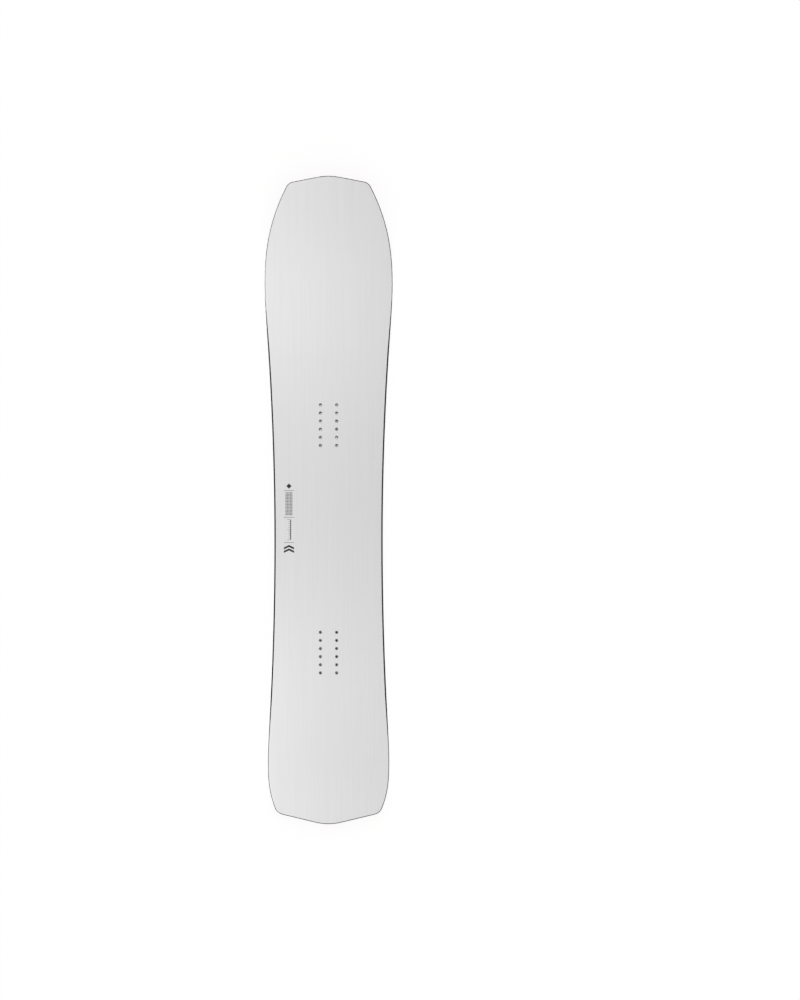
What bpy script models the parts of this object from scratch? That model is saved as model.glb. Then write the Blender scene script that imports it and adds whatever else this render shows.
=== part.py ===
"""A directional snowboard with a blunt nose and tail, built as its laminate stack and laid base down.

Metres, +Z up, +Y towards the nose, +X to the right as seen from above with the nose away.
The origin is on the ground, under the middle of the board. The outline is the one seen from
straight above. The stack rises from the base: base sheet and steel edges, rubber foil, lower
glass, wood core with its sidewalls and end spacers, upper glass, topsheet. Threaded inserts
stand on the lower glass and end just under the face of the topsheet.
"""

import math

import bmesh
import bpy
import numpy as np
from mathutils import Matrix

# Outline
length = 1.595
waist_width = 0.2669
nose_flare = 0.0243  # how much further out each side is at its widest place than at the waist
tail_flare = 0.0160
nose_length = 0.267  # tip to the widest place behind it
tail_length = 0.1525  # tail end to the widest place before it
waist_offset = -0.100  # from the middle of the board, negative towards the tail
widest_rounding = 14  # power of the term that rounds the sidecut off into the widest places

nose_corner_inset = 0.0594  # from the widest place in to the corner, before the corner is rounded
nose_corner_radius = 0.024
nose_slope = math.radians(10.8)  # of the front edge, on each side of the tip
nose_apex_radius = 0.140
nose_shoulder_power = 2.34  # of the curve from the widest place to the corner

tail_corner_inset = 0.0238
tail_corner_radius = 0.028
tail_slope = math.radians(13.4)
tail_apex_radius = 0.135
tail_shoulder_power = 2.76

# Bend, seen from the side
camber = 0.005
contact_length = 0.040  # flat run on the snow, just inside each widest place
nose_angle = math.radians(20)
nose_straight = 0.032  # last stretch of the nose, which doesn't curve
tail_angle = math.radians(16)
tail_straight = 0.045

# Stack
base_thickness = 0.0014
edge_width = 0.0020
flange_thickness = 0.0005
flange_reach = 0.0040  # how far the edge's anchor flange runs in over the base
edge_joint = 0.0004  # between the two steel edges at the tip and at the tail
foil_thickness = 0.0002
foil_overlap = 0.0015  # how far the foil runs in past the flange
glass_thickness = 0.0006
core_thickness = 0.0062
core_end_thickness = 0.0019
core_taper = 0.120  # run over which the core thins towards each end
topsheet_thickness = 0.0005
glue_line = 0.00015

# Side of the board
bevel_angle = math.radians(24)  # lean of the side, from upright
edge_reveal = 0.0003  # steel left bare above, outside the bevel
drape_run = 0.0003  # sideways run of the lower glass where it steps down off the foil
sidewall_margin = 0.0006  # from that step to the core side of the sidewall

# Core
stave_pairs = 6  # staves on each side of the middle one
stave_overrun = 0.0063  # how far the outermost pair runs past the core's rim at the waist
narrowest_wedge = 0.003

# Binding inserts
stance_width = 0.560
stance_offset = -0.0955  # middle of the stance from the middle of the board
insert_rows = 6
row_pitch = 0.020
column_pitch = 0.040
pad_margin = 0.012  # flat of the board beyond the last row of inserts
thread_bore = 0.0051  # M6 tapping size
lead_in = 0.00065  # countersink at the mouth of the thread
barrel_land = 0.0008  # flat ring left round the countersink
insert_flange_reach = 0.0035  # how far the flange runs out past the barrel
insert_flange_thickness = 0.0010
insert_floor = 0.0012  # closes the thread at the bottom
insert_recess = 0.0003  # top of the insert below the face of the topsheet

# Spacing of the cross-sections, and sides of a round hole
apex_steps = 2
corner_steps = 4
end_pitch = 0.024
body_pitch = 0.110
insert_sides = 12
cutter_overrun = 0.001
flat_tolerance = 0.0005  # radians: faces this close to one plane are merged in the core
smooth_angle = math.radians(40)  # creases blunter than this are shaded round
weld_distance = 1e-7
step_slack = 1e-6  # share of a step that rounding may add without a further step

# Half widths, and radii of an insert
waist_half = waist_width / 2
nose_half = waist_half + nose_flare
tail_half = waist_half + tail_flare
bore_radius = thread_bore / 2
mouth_radius = bore_radius + lead_in
barrel_radius = mouth_radius + barrel_land
flange_radius = barrel_radius + insert_flange_reach

# Places along the board
nose_start = length / 2 - nose_length
tail_start = -length / 2 + tail_length
camber_front = nose_start - contact_length
camber_rear = tail_start + contact_length
pack_half = (insert_rows - 1) * row_pitch / 2
pad_half = pack_half + pad_margin
nose_pack = stance_offset + stance_width / 2
tail_pack = stance_offset - stance_width / 2
nose_pad = (nose_pack + pad_half, nose_pack - pad_half)
tail_pad = (tail_pack + pad_half, tail_pack - pad_half)
taper_front = max(camber_front - core_taper, nose_pad[0] + end_pitch)
taper_rear = min(camber_rear + core_taper, tail_pad[1] - end_pitch)

# Levels in the stack above the face of the base; those over the core add the core's thickness
flange_bottom = base_thickness + glue_line
edge_height = flange_bottom + flange_thickness
foil_bottom = edge_height + glue_line
foil_top = foil_bottom + foil_thickness
rim_glass_bottom = foil_top + glue_line
rim_glass_top = rim_glass_bottom + glass_thickness
sidewall_bottom = rim_glass_top + glue_line
glass_bottom = base_thickness + glue_line
glass_top = glass_bottom + glass_thickness
core_bottom = glass_top + glue_line
upper_glass_bottom = core_bottom + glue_line
upper_glass_top = upper_glass_bottom + glass_thickness
topsheet_bottom = upper_glass_top + glue_line
topsheet_top = topsheet_bottom + topsheet_thickness

# Distances in from the rim
flange_inset = edge_width + flange_reach
foil_inset = flange_inset + foil_overlap
drape_start = foil_inset + glue_line
drape_end = drape_start + drape_run
sidewall_inset = drape_end + glass_thickness + sidewall_margin
core_inset = sidewall_inset + glue_line

# Widths in the core
staves_half = waist_half - core_inset + stave_overrun
stave_width = staves_half / (stave_pairs + 0.5)
thinnest_half = staves_half + narrowest_wedge


def spaced(start, end, pitch):
    """Even steps from start to end, none longer than the pitch."""
    steps = max(1, math.ceil(abs(end - start) / pitch - step_slack))
    return np.linspace(start, end, steps + 1)


def corner_arc(corner, before, after, radius):
    """Points of the arc that rounds a corner between two straight directions."""
    turn = math.acos(np.dot(before, after))
    start = corner - before * radius * math.tan(turn / 2)
    inward = np.array([-before[1], before[0]])
    centre = start + inward * radius
    points = []
    for angle in np.linspace(0, turn, corner_steps + 1):
        spoke = inward * math.cos(angle) - before * math.sin(angle)
        points.append(centre - spoke * radius)
    return points


def end_outline(reach, half_width, corner_inset, corner_radius, slope, apex_radius, shoulder_power):
    """Half of one end, from its tip to its widest place, as (half width, distance from the tip)."""
    points = []
    for angle in np.linspace(0, slope, apex_steps + 1):
        points.append((apex_radius * math.sin(angle), apex_radius * (1 - math.cos(angle))))
    apex_x, apex_back = points[-1]
    corner_x = half_width - corner_inset
    corner_back = apex_back + (corner_x - apex_x) * math.tan(slope)

    shoulder_run = reach - corner_back
    along_front = np.array([math.cos(slope), math.sin(slope)])
    along_shoulder = np.array([corner_inset * shoulder_power / shoulder_run, 1.0])
    along_shoulder /= np.linalg.norm(along_shoulder)
    corner = np.array([corner_x, corner_back])
    points.extend(corner_arc(corner, along_front, along_shoulder, corner_radius))

    for back in spaced(points[-1][1], reach, end_pitch)[1:]:
        share = (reach - back) / shoulder_run
        points.append((half_width - corner_inset * share**shoulder_power, back))
    return np.array(points)


def sidecut(y):
    """Half width between the widest places: a parabola that levels off where it meets them."""
    if y > waist_offset:
        share = (y - waist_offset) / (nose_start - waist_offset)
        flare = nose_flare
    else:
        share = (waist_offset - y) / (waist_offset - tail_start)
        flare = tail_flare
    rounding = 2 / (widest_rounding - 2)
    return waist_half + flare * ((1 + rounding) * share**2 - rounding * share**widest_rounding)


def body_stations():
    """Places of the cross-sections between the widest places; a mounting pad is one flat stretch."""
    stretches = (
        (nose_start, camber_front, end_pitch),
        (camber_front, taper_front, end_pitch),
        (taper_front, nose_pad[0], body_pitch),
        (*nose_pad, 2 * pad_half),
        (nose_pad[1], tail_pad[0], body_pitch),
        (*tail_pad, 2 * pad_half),
        (tail_pad[1], taper_rear, body_pitch),
        (taper_rear, camber_rear, end_pitch),
        (camber_rear, tail_start, end_pitch),
    )
    stations = [nose_start]
    for front, rear, pitch in stretches:
        stations.extend(spaced(front, rear, pitch)[1:])
    return stations


def board_outline():
    """The right half of the outline from nose tip to tail end, and which of its points are the widest."""
    nose = end_outline(
        nose_length, nose_half, nose_corner_inset, nose_corner_radius,
        nose_slope, nose_apex_radius, nose_shoulder_power,
    )
    tail = end_outline(
        tail_length, tail_half, tail_corner_inset, tail_corner_radius,
        tail_slope, tail_apex_radius, tail_shoulder_power,
    )
    nose_points = np.column_stack([nose[:, 0], length / 2 - nose[:, 1]])
    body_points = np.array([(sidecut(y), y) for y in body_stations()[1:-1]])
    tail_points = np.column_stack([tail[::-1, 0], tail[::-1, 1] - length / 2])
    widest_nose = len(nose_points) - 1
    widest_tail = len(nose_points) + len(body_points)
    return np.vstack([nose_points, body_points, tail_points]), widest_nose, widest_tail


def inward_ways(points):
    """At each outline point the way in from the rim, lengthened so that an inset run stays parallel."""
    mirror = np.array([-1, 1])
    around = np.vstack([points[1] * mirror, points, points[-2] * mirror])
    runs = np.diff(around, axis=0)
    runs /= np.linalg.norm(runs, axis=1)[:, None]
    normals = np.column_stack([runs[:, 1], -runs[:, 0]])
    before = normals[:-1]
    after = normals[1:]
    return (before + after) / (1 + (before * after).sum(axis=1))[:, None]


def end_rise(run, reach, straight, angle):
    """Height that one end has gained, a run past its widest place: an arc, then a straight stretch."""
    arc_run = reach - straight
    radius = arc_run / math.sin(angle)
    on_arc = np.clip(run, 0, arc_run)
    beyond = np.clip(run - arc_run, 0, None)
    return radius - np.sqrt(radius**2 - on_arc**2) + beyond * math.tan(angle)


def ride_height(y):
    """Height of the base's face over flat ground."""
    share = np.clip((y - camber_rear) / (camber_front - camber_rear), 0, 1)
    arch = camber * (1 - np.cos(2 * math.pi * share)) / 2
    nose = end_rise(y - nose_start, nose_length, nose_straight, nose_angle)
    tail = end_rise(tail_start - y, tail_length, tail_straight, tail_angle)
    return arch + nose + tail


def core_depth(y):
    """Thickness of the core: full over most of the length, thin beyond the camber."""
    places = [camber_rear, taper_rear, taper_front, camber_front]
    return np.interp(y, places, [core_end_thickness, core_thickness, core_thickness, core_end_thickness])


def rail(level, over_core=False, inset=None):
    """A line all along the right half at one level. Without an inset it lies on the bevelled side."""
    if inset is None:
        height = level + (core_depth(outline[:, 1]) if over_core else 0)
        inset = edge_reveal + (height - edge_height) * math.tan(bevel_angle)
    points = outline + inward * np.reshape(inset, (-1, 1))
    y = points[:, 1]
    heights = ride_height(y) + level + (core_depth(y) if over_core else 0)
    return np.column_stack([points, heights])


def mirrored(points):
    return points * np.array([-1, 1, 1])


def lofted(rings, capped):
    """A mesh through rings that all have the same number of corners."""
    shape = bmesh.new()
    rows = [[shape.verts.new(corner) for corner in ring] for ring in rings]
    for row, following in zip(rows, rows[1:]):
        for k in range(len(row)):
            shape.faces.new((row[k - 1], row[k], following[k], following[k - 1]))
    if capped:
        shape.faces.new(rows[0])
        shape.faces.new(rows[-1])
    bmesh.ops.remove_doubles(shape, verts=shape.verts, dist=weld_distance)
    bmesh.ops.recalc_face_normals(shape, faces=shape.faces)
    return shape


def mesh_from(name, shape):
    mesh = bpy.data.meshes.new(name)
    shape.to_mesh(mesh)
    shape.free()
    mesh.shade_smooth()
    mesh.set_sharp_from_angle(angle=smooth_angle)
    return mesh


def add_piece(name, mesh, material):
    """One named piece of the board, parented to the board's empty."""
    if not mesh.materials:
        mesh.materials.append(material)
    piece = bpy.data.objects.new(name, mesh)
    piece.parent = board
    bpy.context.scene.collection.objects.link(piece)
    return piece


def full_width_shape(rails):
    """A body across the whole board, from rails of its right half given from the top to the bottom."""
    rings = [[*half, *mirrored(half)[::-1]] for half in np.stack(rails, axis=1)]
    return lofted(rings, capped=False)


def add_layer(name, rails, material):
    return add_piece(name, mesh_from(name, full_width_shape(rails)), material)


def add_side_pair(name, rails, first, last, shifts, material):
    """A strip along the rim between two outline points, on both sides, its ends shifted for a joint."""
    rings = np.stack(rails, axis=1)[first : last + 1]
    rings[0] += shifts[0]
    rings[-1] += shifts[1]
    for side, placed in (("right", rings), ("left", mirrored(rings))):
        piece = f"{name}_{side}"
        add_piece(piece, mesh_from(piece, lofted(placed, capped=True)), material)


def add_end_band(name, rails, tip, joint, shift, material):
    """A strip along the rim round one end, from a joint on the left to the same joint on the right."""
    step = 1 if joint > tip else -1
    right = np.stack(rails, axis=1)[list(range(tip, joint + step, step))]
    right[-1] += shift
    left = mirrored(right)[:0:-1]
    add_piece(name, mesh_from(name, lofted(np.concatenate([left, right]), capped=True)), material)


def turned_shape(profile):
    """A round body from (radius, height) points that start and end on the upright axis."""
    shape = bmesh.new()
    points = [shape.verts.new((radius, 0, height)) for radius, height in profile]
    edges = [shape.edges.new(pair) for pair in zip(points, points[1:])]
    bmesh.ops.spin(
        shape, geom=points + edges, cent=(0, 0, 0), axis=(0, 0, 1),
        angle=2 * math.pi, steps=insert_sides, use_merge=True,
    )
    bmesh.ops.remove_doubles(shape, verts=shape.verts, dist=weld_distance)
    bmesh.ops.recalc_face_normals(shape, faces=shape.faces)
    return shape


def insert_places():
    """Name, place and lean of each insert. They stand square to the flat pad under their binding."""
    for pack, centre, pad in (("nose", nose_pack, nose_pad), ("tail", tail_pack, tail_pad)):
        front_height, rear_height = ride_height(np.array(pad))
        lean = math.atan2(front_height - rear_height, pad[0] - pad[1])
        for side, x in (("left", -column_pitch / 2), ("right", column_pitch / 2)):
            for row in range(insert_rows):
                y = centre + pack_half - row * row_pitch
                height = rear_height + (y - pad[1]) * math.tan(lean)
                yield f"insert_{pack}_{side}_{row + 1}", (x, y, height + core_bottom), lean


def add_inserts(material):
    """Steel inserts: a flange under the core, and a barrel with a blind M6 thread."""
    top = core_thickness + topsheet_top - core_bottom - insert_recess
    profile = [
        (0, 0),
        (flange_radius, 0),
        (flange_radius, insert_flange_thickness),
        (barrel_radius, insert_flange_thickness),
        (barrel_radius, top),
        (mouth_radius, top),
        (bore_radius, top - lead_in),
        (bore_radius, insert_floor),
        (0, insert_floor),
    ]
    mesh = mesh_from("insert", turned_shape(profile))
    for name, place, lean in insert_places():
        piece = add_piece(name, mesh, material)
        piece.location = place
        piece.rotation_euler = (lean, 0, 0)


def add_insert_cutter():
    """The bores and flange pockets of all the inserts, as one hidden cutter."""
    pocket_radius = flange_radius + glue_line
    pocket_top = insert_flange_thickness + glue_line
    hole_radius = barrel_radius + glue_line
    top = core_thickness + topsheet_top - core_bottom + cutter_overrun
    profile = [
        (0, -cutter_overrun),
        (pocket_radius, -cutter_overrun),
        (pocket_radius, pocket_top),
        (hole_radius, pocket_top),
        (hole_radius, top),
        (0, top),
    ]
    bore = mesh_from("bore", turned_shape(profile))
    everything = bmesh.new()
    for _, place, lean in insert_places():
        before = len(everything.verts)
        everything.from_mesh(bore)
        everything.verts.ensure_lookup_table()
        added = everything.verts[before:]
        bmesh.ops.rotate(everything, verts=added, matrix=Matrix.Rotation(lean, 3, "X"))
        bmesh.ops.translate(everything, verts=added, vec=place)
    cutter = bpy.data.objects.new("insert_bores", mesh_from("insert_bores", everything))
    cutter.hide_render = True
    cutter.display_type = "WIRE"
    cutter.parent = board
    bpy.context.scene.collection.objects.link(cutter)
    return cutter


def bore_for_inserts(piece, cutter):
    modifier = piece.modifiers.new("insert bores", "BOOLEAN")
    modifier.operation = "DIFFERENCE"
    modifier.solver = "EXACT"
    modifier.object = cutter


def core_blank():
    """The whole core in one mesh, before it is parted into staves."""
    shape = full_width_shape([rail(core_bottom, True, core_inset), rail(core_bottom, False, core_inset)])
    bmesh.ops.dissolve_limit(
        shape, angle_limit=flat_tolerance, verts=shape.verts, edges=shape.edges,
    )
    blank = bpy.data.meshes.new("core blank")
    shape.to_mesh(blank)
    shape.free()
    return blank


def sawn(blank, cuts):
    """The part of the blank that is left inside a list of (point, outward way) saw cuts."""
    shape = bmesh.new()
    shape.from_mesh(blank)
    for point, outward in cuts:
        bmesh.ops.bisect_plane(
            shape, geom=shape.verts[:] + shape.edges[:] + shape.faces[:], dist=weld_distance,
            plane_co=point, plane_no=outward, clear_outer=True,
        )
        rims = [edge for edge in shape.edges if edge.is_boundary]
        bmesh.ops.holes_fill(shape, edges=rims, sides=0)
    bmesh.ops.recalc_face_normals(shape, faces=shape.faces)
    return shape


def add_stave(name, blank, x_low, x_high, cutter, material):
    """One lengthwise stave between two glue joints."""
    cuts = [((x_low + glue_line / 2, 0, 0), (-1, 0, 0)), ((x_high - glue_line / 2, 0, 0), (1, 0, 0))]
    stave = add_piece(name, mesh_from(name, sawn(blank, cuts)), material)
    pocket_half = flange_radius + glue_line
    for column in (-column_pitch / 2, column_pitch / 2):
        if x_low < column + pocket_half and column - pocket_half < x_high:
            bore_for_inserts(stave, cutter)
            return


def core_rim_place(half_width, start, end):
    """Where along the board the core's rim passes a half width, between two outline points."""
    first, last = sorted((start, end))
    rim = rail(core_bottom, False, core_inset)[first : last + 1]
    order = np.argsort(rim[:, 0])
    return float(np.interp(half_width, rim[order, 0], rim[order, 1]))


def add_wedge_pair(end, blank, y_low, y_high, material):
    """The short outermost strips at one end, cut off square where they would get too thin."""
    for side, way in (("left", -1), ("right", 1)):
        cuts = [
            ((way * (staves_half + glue_line / 2), 0, 0), (-way, 0, 0)),
            ((0, y_high, 0), (0, 1, 0)),
            ((0, y_low, 0), (0, -1, 0)),
        ]
        name = f"core_wedge_{end}_{side}"
        add_piece(name, mesh_from(name, sawn(blank, cuts)), material)


def add_core(cutter, material):
    """Staves side by side out past the rim at the waist, then wedges that fill the wider ends."""
    blank = core_blank()
    half = stave_width / 2
    add_stave("core_stave_center", blank, -half, half, cutter, material)
    for number in range(1, stave_pairs + 1):
        outer = half + number * stave_width
        inner = outer - stave_width
        add_stave(f"core_stave_right_{number}", blank, inner, outer, cutter, material)
        add_stave(f"core_stave_left_{number}", blank, -outer, -inner, cutter, material)

    waist = widest_nose + int(np.argmin(outline[widest_nose:widest_tail, 0]))
    for end, tip, widest in (("nose", nose_tip, widest_nose), ("tail", tail_tip, widest_tail)):
        ends = [core_rim_place(thinnest_half, widest, other) for other in (tip, waist)]
        add_wedge_pair(end, blank, min(ends), max(ends), material)
    bpy.data.meshes.remove(blank)


def add_base(material):
    inset = edge_width + glue_line
    add_layer("base", [rail(base_thickness, inset=inset), rail(0, inset=inset)], material)


def add_steel_edges(material):
    """An L in section: the bar on the snow, and the flange that anchors it in over the base."""
    section = [
        rail(0, inset=0),
        rail(edge_height, inset=0),
        rail(edge_height, inset=flange_inset),
        rail(flange_bottom, inset=flange_inset),
        rail(flange_bottom, inset=edge_width),
        rail(0, inset=edge_width),
    ]
    shift = (edge_joint / 2, 0, 0)
    add_side_pair("edge", section, nose_tip, tail_tip, (shift, shift), material)


def add_foils(material):
    """Rubber strips that let the steel flange move a little under the glass."""
    section = [
        rail(foil_top, inset=foil_inset),
        rail(foil_top),
        rail(foil_bottom),
        rail(foil_bottom, inset=foil_inset),
    ]
    shift = (edge_joint / 2, 0, 0)
    add_side_pair("foil", section, nose_tip, tail_tip, (shift, shift), material)


def add_lower_glass(material):
    """It lies on the base, and steps up near the rim to pass over the foil."""
    section = [
        rail(glass_top, inset=drape_end + glass_thickness),
        rail(rim_glass_top, inset=drape_start + glass_thickness),
        rail(rim_glass_top),
        rail(rim_glass_bottom),
        rail(rim_glass_bottom, inset=drape_start),
        rail(glass_bottom, inset=drape_end),
    ]
    add_layer("lower_glass", section, material)


def add_sidewalls_and_spacers(sidewall_material, spacer_material):
    """Sidewalls close the thick middle of the board, and flat spacers close its two thin ends."""
    section = [
        rail(core_bottom, True, sidewall_inset),
        rail(core_bottom, True),
        rail(sidewall_bottom),
        rail(sidewall_bottom, inset=sidewall_inset),
    ]
    back = (0, -glue_line / 2, 0)
    ahead = (0, glue_line / 2, 0)
    add_side_pair("sidewall", section, nose_joint, widest_tail, (back, ahead), sidewall_material)
    add_end_band("nose_spacer", section, nose_tip, nose_joint, ahead, spacer_material)
    add_end_band("tail_spacer", section, tail_tip, widest_tail, back, spacer_material)


def finish(name, colour, roughness, metallic=0.0):
    """A plain material in linear colour."""
    material = bpy.data.materials.new(name)
    material.use_nodes = True
    shader = material.node_tree.nodes["Principled BSDF"]
    shader.inputs["Base Color"].default_value = (*colour, 1)
    shader.inputs["Roughness"].default_value = roughness
    shader.inputs["Metallic"].default_value = metallic
    return material


for leftover in list(bpy.data.objects):
    bpy.data.objects.remove(leftover, do_unlink=True)

board = bpy.data.objects.new("snowboard", None)
bpy.context.scene.collection.objects.link(board)

outline, widest_nose, widest_tail = board_outline()
inward = inward_ways(outline)
nose_tip = 0
tail_tip = len(outline) - 1
nose_joint = int(np.argmin(np.abs(outline[:, 1] - camber_front)))

grey_plastic = finish("topsheet satin grey", (0.73, 0.73, 0.72), 0.35)
red_plastic = finish("sintered base red", (0.53, 0.003, 0.004), 0.4)
black_plastic = finish("sidewall black", (0.012, 0.012, 0.013), 0.45)
spacer_plastic = finish("spacer grey", (0.30, 0.30, 0.30), 0.5)
edge_steel = finish("edge steel", (0.50, 0.50, 0.51), 0.3, 1)
insert_steel = finish("insert steel", (0.45, 0.45, 0.46), 0.3, 1)
glass_resin = finish("glass laminate", (0.55, 0.56, 0.47), 0.4)
rubber = finish("rubber foil", (0.02, 0.02, 0.02), 0.8)
wood = finish("poplar core", (0.62, 0.45, 0.26), 0.6)

insert_cutter = add_insert_cutter()
add_base(red_plastic)
add_steel_edges(edge_steel)
add_foils(rubber)
add_lower_glass(glass_resin)
add_core(insert_cutter, wood)
add_sidewalls_and_spacers(black_plastic, spacer_plastic)
add_inserts(insert_steel)

glass_rails = [rail(upper_glass_top, True), rail(upper_glass_bottom, True)]
bore_for_inserts(add_layer("upper_glass", glass_rails, glass_resin), insert_cutter)
topsheet_rails = [rail(topsheet_top, True), rail(topsheet_bottom, True)]
bore_for_inserts(add_layer("topsheet", topsheet_rails, grey_plastic), insert_cutter)
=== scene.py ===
# %% [markdown]
# # A snowboard, seen from straight above
#
# A snowboard is a thin sandwich. From the snow up it holds a plastic base with a steel edge round it,
# a rubber foil, a glass fibre cloth, a wood core with plastic sidewalls, a second glass cloth and a
# printed topsheet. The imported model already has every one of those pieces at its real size.
# This script dresses them: it gives each piece its finish, and it makes the pieces that show again
# with more cross-sections and finer detail, so that they stay smooth in a close view.

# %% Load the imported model
import math

import bmesh
import bpy
import numpy as np
from mathutils import Matrix, Vector


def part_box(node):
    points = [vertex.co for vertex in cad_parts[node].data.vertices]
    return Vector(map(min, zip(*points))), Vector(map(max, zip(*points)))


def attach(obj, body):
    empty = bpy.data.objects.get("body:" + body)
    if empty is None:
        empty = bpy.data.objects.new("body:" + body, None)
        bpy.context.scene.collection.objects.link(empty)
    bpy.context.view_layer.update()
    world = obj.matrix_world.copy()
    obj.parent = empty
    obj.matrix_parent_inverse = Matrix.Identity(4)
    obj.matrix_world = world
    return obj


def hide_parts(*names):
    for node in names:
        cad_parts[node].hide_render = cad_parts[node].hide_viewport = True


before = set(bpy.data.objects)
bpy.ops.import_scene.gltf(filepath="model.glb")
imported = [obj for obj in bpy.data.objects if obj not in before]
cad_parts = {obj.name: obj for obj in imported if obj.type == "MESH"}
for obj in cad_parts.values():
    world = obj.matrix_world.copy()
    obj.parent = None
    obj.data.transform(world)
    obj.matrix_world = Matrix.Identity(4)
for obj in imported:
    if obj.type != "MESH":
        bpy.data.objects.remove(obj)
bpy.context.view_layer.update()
print("nodes:", len(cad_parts))

# %% [markdown]
# ## The outline
#
# Seen from above, the long sides are shallow curves that are narrowest near the bindings, which is
# what lets the board turn. Each end has a slightly pointed front edge, a rounded corner and a
# shoulder that runs out to the widest place. A curve drawn by hand could follow it, but a formula
# from a few real sizes gives every layer exactly the same rim. So the right half is worked out as a
# list of points from nose to tail, and the left half mirrors it.

# %% Sizes of the outline, in metres
length = 1.595
waist_half = 0.13345
waist_place = -0.100
nose_half = 0.15775
tail_half = 0.14945
nose_length = 0.267
tail_length = 0.1525
widest_rounding = 14  # power of the term that rounds the long sides off into the widest places

nose_end = {
    "reach": nose_length, "half_width": nose_half, "corner_inset": 0.0594, "corner_radius": 0.024,
    "slope": math.radians(10.8), "apex_radius": 0.140, "shoulder_power": 2.34,
}
tail_end = {
    "reach": tail_length, "half_width": tail_half, "corner_inset": 0.0238, "corner_radius": 0.028,
    "slope": math.radians(13.4), "apex_radius": 0.135, "shoulder_power": 2.76,
}

nose_start = length / 2 - nose_length
tail_start = tail_length - length / 2

# %% Points of one end
apex_steps = 8
corner_steps = 12
front_pitch = 0.006
shoulder_pitch = 0.006


def steps_between(start, end, pitch):
    return np.linspace(start, end, max(1, math.ceil(abs(end - start) / pitch)) + 1)


def end_points(reach, half_width, corner_inset, corner_radius, slope, apex_radius, shoulder_power):
    """Half of one end as (half width, distance from the tip), from the tip to the widest place."""
    points = []
    for angle in np.linspace(0, slope, apex_steps + 1):
        points.append((apex_radius * math.sin(angle), apex_radius * (1 - math.cos(angle))))
    apex_x, apex_back = points[-1]

    corner_x = half_width - corner_inset
    corner_back = apex_back + (corner_x - apex_x) * math.tan(slope)
    shoulder_run = reach - corner_back
    before = np.array([math.cos(slope), math.sin(slope)])
    after = np.array([corner_inset * shoulder_power / shoulder_run, 1.0])
    after /= np.linalg.norm(after)
    turn = math.acos(np.dot(before, after))
    arc_start = np.array([corner_x, corner_back]) - before * corner_radius * math.tan(turn / 2)
    for x in steps_between(apex_x, arc_start[0], front_pitch)[1:-1]:
        points.append((x, apex_back + (x - apex_x) * math.tan(slope)))

    way_in = np.array([-before[1], before[0]])
    centre = arc_start + way_in * corner_radius
    for angle in np.linspace(0, turn, corner_steps + 1):
        points.append(centre - (way_in * math.cos(angle) - before * math.sin(angle)) * corner_radius)

    for back in steps_between(points[-1][1], reach, shoulder_pitch)[1:]:
        share = (reach - back) / shoulder_run
        points.append((half_width - corner_inset * share**shoulder_power, back))
    return np.array(points)


print("points in the nose:", len(end_points(**nose_end)))

# %% The long sides, and the whole right half
body_pitch = 0.010
pad_half = 0.062  # half the flat length under each binding
nose_pack = 0.1845
tail_pack = -0.3755
nose_pad = (nose_pack + pad_half, nose_pack - pad_half)
tail_pad = (tail_pack + pad_half, tail_pack - pad_half)
contact_length = 0.040
camber_front = nose_start - contact_length
camber_rear = tail_start + contact_length
core_taper = 0.120  # run over which the core thins towards each end
taper_front = camber_front - core_taper
taper_rear = camber_rear + core_taper


def side_half_width(y):
    """Half width between the widest places: a parabola that levels off where it meets them."""
    if y > waist_place:
        share = (y - waist_place) / (nose_start - waist_place)
        flare = nose_half - waist_half
    else:
        share = (waist_place - y) / (waist_place - tail_start)
        flare = tail_half - waist_half
    rounding = 2 / (widest_rounding - 2)
    return waist_half + flare * ((1 + rounding) * share**2 - rounding * share**widest_rounding)


places = [nose_start, camber_front, taper_front, *nose_pad, *tail_pad, taper_rear, camber_rear, tail_start]
stations = [nose_start]
for front, rear in zip(places, places[1:]):
    stations.extend(steps_between(front, rear, body_pitch)[1:])

nose = end_points(**nose_end)
tail = end_points(**tail_end)
outline = np.vstack([
    np.column_stack([nose[:, 0], length / 2 - nose[:, 1]]),
    [(side_half_width(y), y) for y in stations[1:-1]],
    np.column_stack([tail[::-1, 0], tail[::-1, 1] - length / 2]),
])
nose_joint = int(np.argmin(np.abs(outline[:, 1] - camber_front)))
tail_joint = len(outline) - len(tail)
print("points on the right half:", len(outline))

# %% [markdown]
# ## Ways in from the rim
#
# Every layer stops at its own distance in from the rim. To stay parallel to it, a point moves along
# the middle of the two normals beside it, a little further where the outline bends. This is how an
# offset tool works, but done once for all layers it keeps their cross-sections in line.

# %% Directions that point in from the rim
mirror = np.array([-1, 1])
around = np.vstack([outline[1] * mirror, outline, outline[-2] * mirror])
runs = np.diff(around, axis=0)
runs /= np.linalg.norm(runs, axis=1)[:, None]
normals = np.column_stack([runs[:, 1], -runs[:, 0]])
inward = (normals[:-1] + normals[1:]) / (1 + (normals[:-1] * normals[1:]).sum(axis=1))[:, None]

# %% [markdown]
# ## The bend, seen from the side
#
# On snow the board touches near its widest places. Between them it arches up by a few millimetres,
# which is its camber, and beyond them nose and tail turn up. A lattice or a curve modifier could
# bend a flat board, but a height that is worked out from the place along the board keeps each layer
# exactly on the next. The two pads under the bindings stay flat, so that the inserts stand square.

# %% Height of the base over flat ground, and thickness of the core
camber = 0.005
nose_bend = {"reach": nose_length, "straight": 0.032, "angle": math.radians(20)}
tail_bend = {"reach": tail_length, "straight": 0.045, "angle": math.radians(16)}
core_middle = 0.0062
core_tip = 0.0019


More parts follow.
